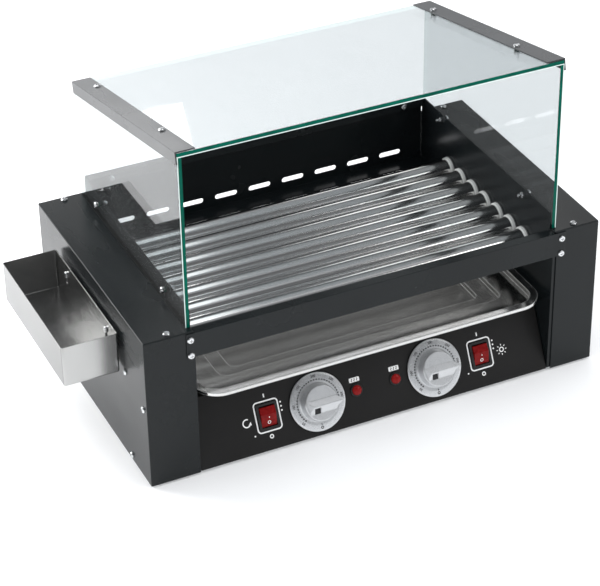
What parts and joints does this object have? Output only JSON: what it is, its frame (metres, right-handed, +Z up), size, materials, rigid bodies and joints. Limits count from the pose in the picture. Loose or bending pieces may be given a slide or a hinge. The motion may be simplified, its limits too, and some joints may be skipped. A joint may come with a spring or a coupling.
{
  "type": "hot dog roller grill",
  "caption": "Countertop roller grill with heated rollers between two cabinets, open-fronted glass hood, drip tray, sloped control panel and side condiment box.",
  "frame": {"origin": "the middle of the base pan's underside, 3 mm above the table on the rubber feet", "axes": "+Z up, +X towards the machine's right-hand cabinet as seen from the front, -Y towards the person working it"},
  "size_m": [0.6526, 0.3947, 0.4203],
  "materials": {
    "black_coat": "fine powder coat, satin",
    "panel_coat": "smooth satin coat with printed white marks",
    "galvanised": "galvanised sheet, dull spangle",
    "stainless": "brushed",
    "roller_steel": "polished stainless",
    "tray_steel": "bright rolled stainless",
    "zinc_screw": "bright zinc",
    "dark_bar": "dark satin coat",
    "clear_glass": "clear, green at the edges",
    "rubber": "moulded",
    "black_plastic": "fine moulded grain",
    "knob_silver": "silver satin, printed dial",
    "red_rocker": "translucent red",
    "red_lens": "translucent red",
    "white_bush": "moulded",
    "dark_washer": "moulded",
    "chain_steel": "oiled steel",
    "motor_paint": "grey enamel",
    "element_sheath": "heat-tinted sheath",
    "lamp_cover": "frosted white",
    "ceramic_block": "cream moulded block",
    "wire_cover": "sleeved wire"
  },
  "bodies": {
    "case": {"base_pan": "galvanised", "rubber_feet": "rubber", "left_inner_wall": "black_coat", "right_inner_wall": "black_coat", "left_cabinet_cover": "black_coat", "right_cabinet_cover": "black_coat", "back_panel": "black_coat", "front_rail": "black_coat", "tray_shelf": "galvanised", "control_panel": "panel_coat", "switch_housings": "black_plastic", "thermostats": "stainless", "indicator_lamps": "black_plastic", "lamp_lenses": "red_lens", "box_studs": "zinc_screw", "left_glass": "clear_glass", "right_glass": "clear_glass", "top_glass": "clear_glass", "glass_bars": "dark_bar", "glass_screws": "zinc_screw", "glass_nuts": "zinc_screw", "case_screws": "zinc_screw", "lamp_channel": "black_coat", "light_strip": "lamp_cover", "roller_bushes": "white_bush", "bush_washers": "dark_washer", "drive_chain": "chain_steel", "motor_bracket": "galvanised", "gear_motor": "motor_paint", "heating_elements": "element_sheath", "element_brackets": "galvanised", "terminal_block": "ceramic_block", "cord_gland": "black_plastic", "power_cord": "rubber", "plug": "black_plastic", "wiring": "wire_cover"},
    "roller_1": {"roller_1": "roller_steel", "sprocket_1": "chain_steel"},
    "roller_2": {"roller_2": "roller_steel", "sprocket_2": "chain_steel"},
    "roller_3": {"roller_3": "roller_steel", "sprocket_3": "chain_steel"},
    "roller_4": {"roller_4": "roller_steel", "sprocket_4": "chain_steel"},
    "roller_5": {"roller_5": "roller_steel", "sprocket_5": "chain_steel"},
    "roller_6": {"roller_6": "roller_steel", "sprocket_6": "chain_steel"},
    "roller_7": {"roller_7": "roller_steel", "sprocket_7": "chain_steel"},
    "motor_output": {"motor_shaft": "stainless", "motor_sprocket": "chain_steel"},
    "left_knob": {"left_knob": "knob_silver", "left_knob_shaft": "stainless"},
    "right_knob": {"right_knob": "knob_silver", "right_knob_shaft": "stainless"},
    "turn_rocker": {"turn_switch_rocker": "red_rocker"},
    "light_rocker": {"light_switch_rocker": "red_rocker"},
    "tray": {"drip_tray": "tray_steel"},
    "box": {"condiment_box": "stainless"}
  },
  "joints": [
    {"name": "roller_1_spin", "type": "hinge", "parent": "case", "child": "roller_1", "pos_m": [0, -0.0997, 0.1505], "axis": [1, 0, 0], "continuous": true},
    {"name": "roller_2_spin", "type": "hinge", "parent": "case", "child": "roller_2", "pos_m": [0, -0.0686, 0.1505], "axis": [1, 0, 0], "continuous": true},
    {"name": "roller_3_spin", "type": "hinge", "parent": "case", "child": "roller_3", "pos_m": [0, -0.0375, 0.1505], "axis": [1, 0, 0], "continuous": true},
    {"name": "roller_4_spin", "type": "hinge", "parent": "case", "child": "roller_4", "pos_m": [0, -0.0064, 0.1505], "axis": [1, 0, 0], "continuous": true},
    {"name": "roller_5_spin", "type": "hinge", "parent": "case", "child": "roller_5", "pos_m": [0, 0.0247, 0.1505], "axis": [1, 0, 0], "continuous": true},
    {"name": "roller_6_spin", "type": "hinge", "parent": "case", "child": "roller_6", "pos_m": [0, 0.0558, 0.1505], "axis": [1, 0, 0], "continuous": true},
    {"name": "roller_7_spin", "type": "hinge", "parent": "case", "child": "roller_7", "pos_m": [0, 0.0869, 0.1505], "axis": [1, 0, 0], "continuous": true},
    {"name": "motor_spin", "type": "hinge", "parent": "case", "child": "motor_output", "pos_m": [-0.25, -0.0064, 0.0725], "axis": [1, 0, 0], "continuous": true},
    {"name": "left_knob_turn", "type": "hinge", "parent": "case", "child": "left_knob", "pos_m": [-0.0727, -0.1499, 0.03745], "axis": [0, -0.8956, 0.4448], "range_deg": [-290, 0]},
    {"name": "right_knob_turn", "type": "hinge", "parent": "case", "child": "right_knob", "pos_m": [0.0815, -0.1499, 0.03745], "axis": [0, -0.8956, 0.4448], "range_deg": [-290, 0]},
    {"name": "turn_rocker_tip", "type": "hinge", "parent": "case", "child": "turn_rocker", "pos_m": [-0.136, -0.149, 0.037], "axis": [1, 0, 0], "range_deg": [-20, 0]},
    {"name": "light_rocker_tip", "type": "hinge", "parent": "case", "child": "light_rocker", "pos_m": [0.1448, -0.149, 0.037], "axis": [1, 0, 0], "range_deg": [-20, 0]},
    {"name": "tray_pull", "type": "slide", "parent": "case", "child": "tray", "axis": [0, -1, 0], "range_m": [0, 0.28]},
    {"name": "box_lift", "type": "slide", "parent": "case", "child": "box", "axis": [0, 0, 1], "range_m": [0, 0.008]}
  ],
  "couplings": [
    {"joint": "roller_2_spin", "follows": "roller_1_spin", "ratio": 1},
    {"joint": "roller_3_spin", "follows": "roller_1_spin", "ratio": 1},
    {"joint": "roller_4_spin", "follows": "roller_1_spin", "ratio": 1},
    {"joint": "roller_5_spin", "follows": "roller_1_spin", "ratio": 1},
    {"joint": "roller_6_spin", "follows": "roller_1_spin", "ratio": 1},
    {"joint": "roller_7_spin", "follows": "roller_1_spin", "ratio": 1},
    {"joint": "motor_spin", "follows": "roller_1_spin", "ratio": 1.3}
  ]
}
